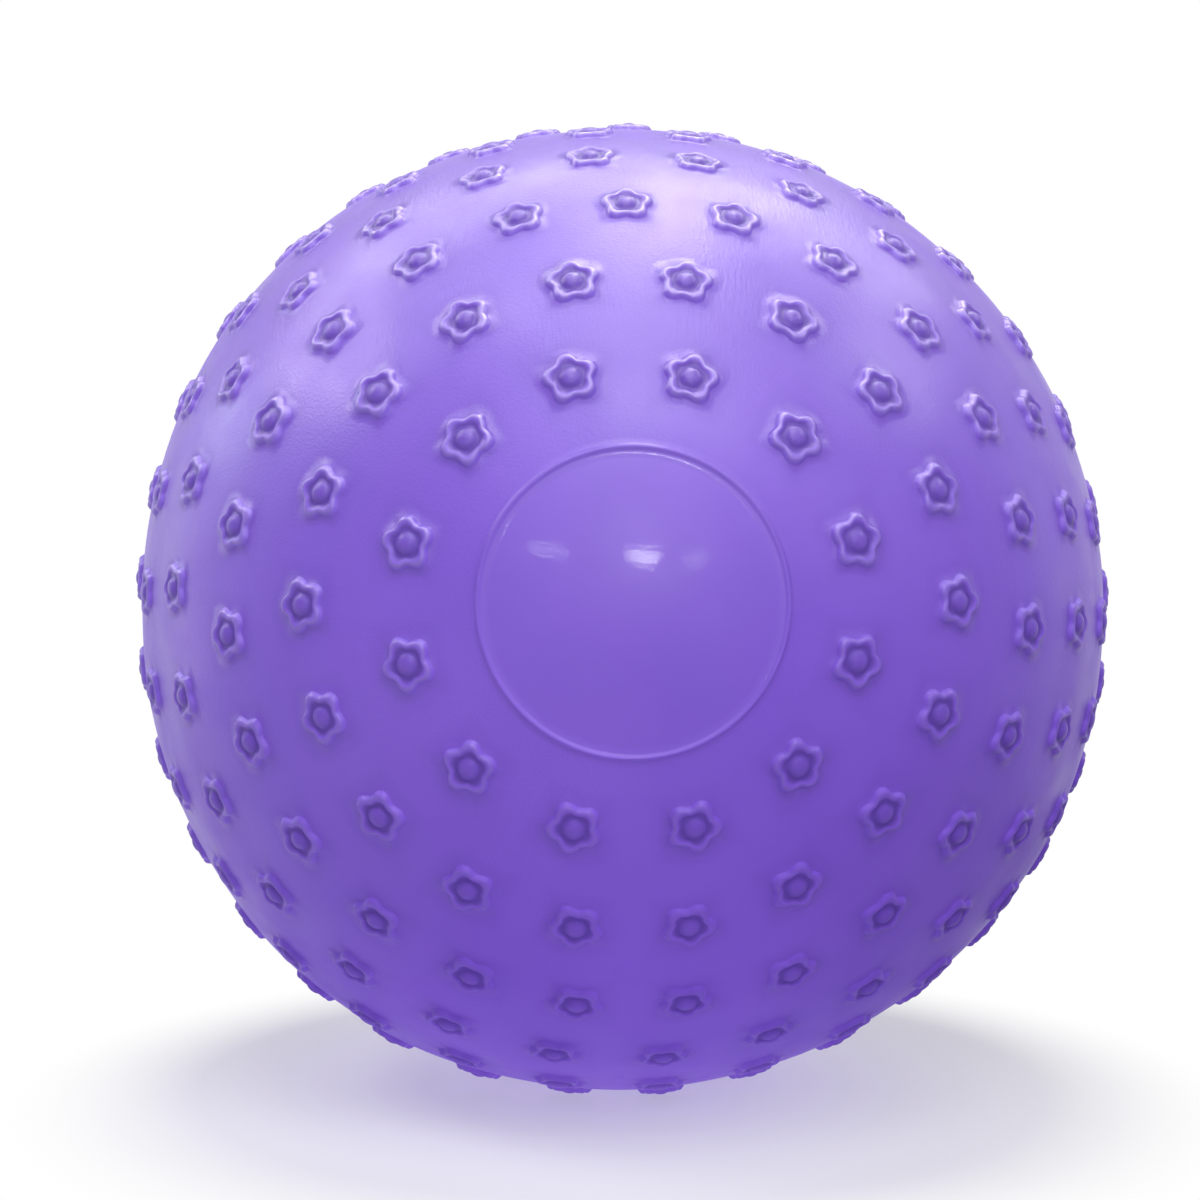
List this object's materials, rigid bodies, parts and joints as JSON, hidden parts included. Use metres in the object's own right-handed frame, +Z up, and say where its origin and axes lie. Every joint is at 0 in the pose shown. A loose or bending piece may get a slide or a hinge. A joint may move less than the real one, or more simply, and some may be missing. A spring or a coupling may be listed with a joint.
{
  "type": "pilates ball",
  "caption": "Inflated purple exercise ball with star-shaped massage bumps, a blank disc inside a bead ring at each pole, and a push-in stopper in a rear valve.",
  "frame": {"origin": "on the floor, under the middle of the ball, at the middle of its pressed-flat foot", "axes": "+Z up. The blank disc's pole faces -Y and the valve's pole faces +Y, so the valve's axis is parallel to Y. +X is to the right of someone who faces the blank disc."},
  "size_m": [0.6568, 0.65, 0.6519],
  "materials": {
    "skin": "satin soft PVC with a fine grain",
    "sleeve": "satin soft PVC",
    "stopper": "smooth white polyethylene"
  },
  "bodies": {
    "ball": {"ball_skin": "skin", "valve_sleeve": "sleeve"},
    "stopper": {"stopper_plug": "stopper"}
  },
  "joints": [
    {"name": "plug_pull", "type": "slide", "parent": "ball", "child": "stopper", "axis": [0, 1, 0], "range_m": [0, 0.045]}
  ]
}
